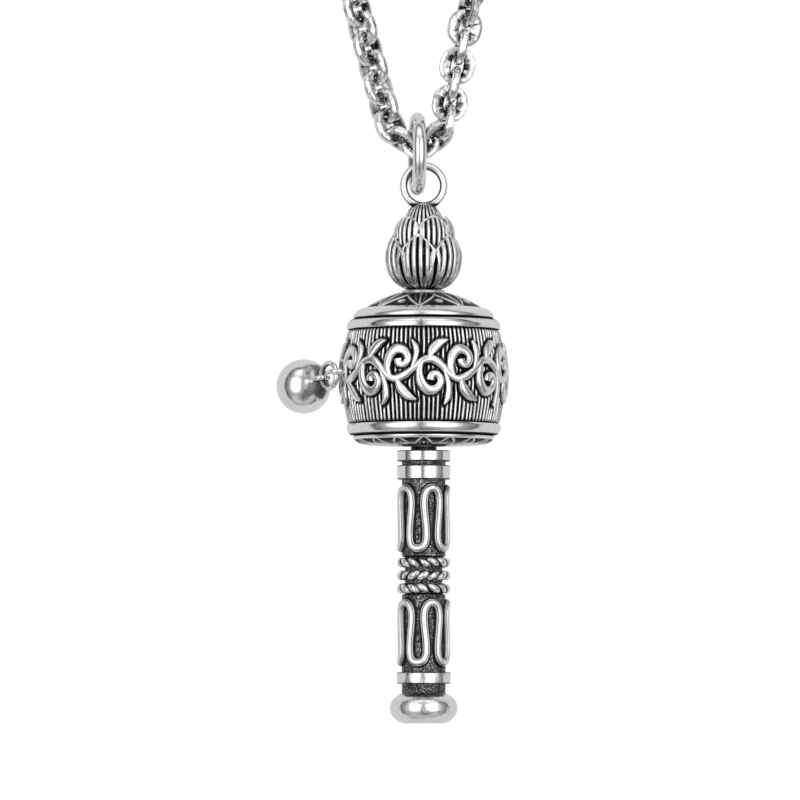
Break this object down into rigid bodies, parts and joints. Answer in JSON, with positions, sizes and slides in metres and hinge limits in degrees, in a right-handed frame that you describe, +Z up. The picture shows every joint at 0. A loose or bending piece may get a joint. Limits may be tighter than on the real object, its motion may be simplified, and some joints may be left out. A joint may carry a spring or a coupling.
{
  "type": "prayer wheel",
  "caption": "Silver prayer wheel pendant: turned handle with wire ornament, ribbed spinning drum with a ball weight on a link, lotus finial, jump ring and chain.",
  "frame": {"origin": "on the spindle's axis, on the level line from which the two strands of the necklace chain hang", "axes": "+Z up along the spindle, +X to the right and -Y to the front of the pictured view"},
  "size_m": [0.02, 0.0142, 0.0659],
  "materials": {
    "polished_silver": null,
    "aged_silver": "silver with darkened recesses",
    "oxidised_silver": "blackened silver, matt",
    "brass": "plain turned",
    "scroll_paper": "matt paper"
  },
  "bodies": {
    "hang_ends": {"chain_end_left": "polished_silver", "chain_end_right": "polished_silver"},
    "chain": {"chain_link_01": "polished_silver", "chain_link_02": "polished_silver", "chain_link_03": "polished_silver", "chain_link_04": "polished_silver", "chain_link_05": "polished_silver", "chain_link_06": "polished_silver", "chain_link_07": "polished_silver", "chain_link_08": "polished_silver", "chain_link_09": "polished_silver", "chain_link_10": "polished_silver", "chain_link_11": "polished_silver", "chain_link_12": "polished_silver", "chain_link_13": "polished_silver", "chain_link_14": "polished_silver", "chain_link_15": "polished_silver", "chain_link_16": "polished_silver", "chain_link_17": "polished_silver"},
    "jump_ring": {"jump_ring": "polished_silver"},
    "pendant": {"foot_knob": "polished_silver", "spindle": "polished_silver", "handle_core": "oxidised_silver", "lower_collar": "polished_silver", "upper_collar": "polished_silver", "top_collar": "polished_silver", "lower_meander": "polished_silver", "upper_meander": "polished_silver", "thrust_washer": "oxidised_silver", "rope_ring_1": "aged_silver", "rope_ring_2": "aged_silver", "rope_ring_3": "aged_silver", "finial_lower_petals": "aged_silver", "finial_middle_petals": "aged_silver", "finial_bud": "aged_silver", "eye_ring": "polished_silver"},
    "drum": {"drum_shell": "aged_silver", "drum_bottom_rim": "polished_silver", "drum_top_rim": "polished_silver", "drum_lid": "aged_silver", "drum_base": "polished_silver", "lower_bush": "brass", "upper_bush": "brass", "scroll_tube": "brass", "prayer_scroll": "scroll_paper", "drum_eyelet": "polished_silver"},
    "weight_link": {"weight_link": "polished_silver"},
    "weight": {"weight_ball_eye": "polished_silver", "weight_ball": "polished_silver"}
  },
  "joints": [
    {"name": "chain_swing", "type": "hinge", "parent": "hang_ends", "child": "chain", "pos_m": [0, 0, 0], "axis": [1, 0, 0], "range_deg": [-25, 25]},
    {"name": "ring_swing", "type": "hinge", "parent": "chain", "child": "jump_ring", "pos_m": [-0.00056, 0.0003, -0.0116], "axis": [1, 0, 0], "range_deg": [-15, 15]},
    {"name": "pendant_swing", "type": "hinge", "parent": "jump_ring", "child": "pendant", "pos_m": [-0.00056, 0, -0.01662], "axis": [0, 1, 0], "range_deg": [-28, 30]},
    {"name": "drum_spin", "type": "hinge", "parent": "pendant", "child": "drum", "pos_m": [0, 0, -0.0324], "axis": [0, 0, 1], "continuous": true},
    {"name": "weight_link_swing", "type": "hinge", "parent": "drum", "child": "weight_link", "pos_m": [-0.00793, -0.00074, -0.03273], "axis": [-0.809, -0.5878, 0], "range_deg": [-30, 22]},
    {"name": "weight_swing", "type": "hinge", "parent": "weight_link", "child": "weight", "pos_m": [-0.00891, 0.0006, -0.03324], "axis": [-0.1222, 0.1682, 0.9781], "range_deg": [-15, 45]}
  ]
}
